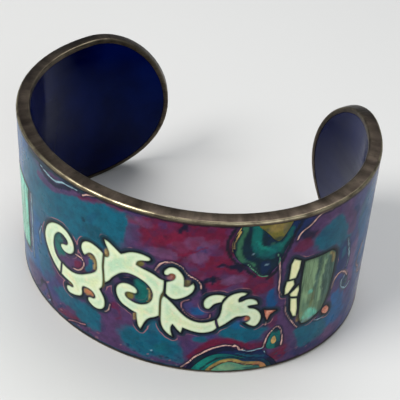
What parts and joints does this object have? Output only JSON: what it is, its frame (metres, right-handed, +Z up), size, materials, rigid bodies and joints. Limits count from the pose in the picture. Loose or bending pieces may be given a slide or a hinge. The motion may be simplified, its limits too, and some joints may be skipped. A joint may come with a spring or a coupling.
{
  "type": "cuff bracelet",
  "caption": "Open cuff bracelet: a bent brass blank with round ends, glossy lacquer inside and out, and shell inlay round the front.",
  "frame": {"origin": "below the middle of the bracelet's outline, on the face it stands on", "axes": "+Z up the band, +X to the wearer's right seen from the front, -Y out of the inlaid front, +Y out of the opening"},
  "size_m": [0.0632, 0.0492, 0.0326],
  "materials": {
    "worn_brass": "satin, rubbed bright along the front corner",
    "navy_lacquer": "high gloss",
    "marbled_lacquer": "high gloss, crimson and teal clouded together",
    "cream_shell": "polished mother of pearl",
    "green_shell": "polished grey-green shell with streaks",
    "coral": "polished",
    "green_fill": "high gloss, swirled",
    "ochre_fill": "high gloss",
    "navy_fill": "high gloss",
    "teal_fill": "high gloss",
    "sage_fill": "high gloss"
  },
  "bodies": {
    "root": {"brass_blank": "worn_brass", "inner_lacquer": "navy_lacquer", "outer_lacquer": "marbled_lacquer", "scroll_hook": "cream_shell", "scroll_fork": "cream_shell", "scroll_body": "cream_shell", "scroll_bud": "cream_shell", "scroll_wave": "cream_shell", "scroll_tendril": "cream_shell", "scroll_claw": "cream_shell", "shell_strip_1": "cream_shell", "shell_strip_2": "cream_shell", "shell_strip_3": "cream_shell", "shell_strip_4": "cream_shell", "abalone_tile_right": "green_shell", "abalone_tile_left": "green_shell", "coral_shard": "coral", "coral_chip": "coral", "green_swirl_fill": "green_fill", "lozenge_ring_fill": "green_fill", "ochre_wedge_fill": "ochre_fill", "fan_ochre_fill": "ochre_fill", "lozenge_core_fill": "ochre_fill", "fan_navy_fill": "navy_fill", "fan_teal_fill": "teal_fill", "fan_sage_fill": "sage_fill"}
  },
  "joints": []
}
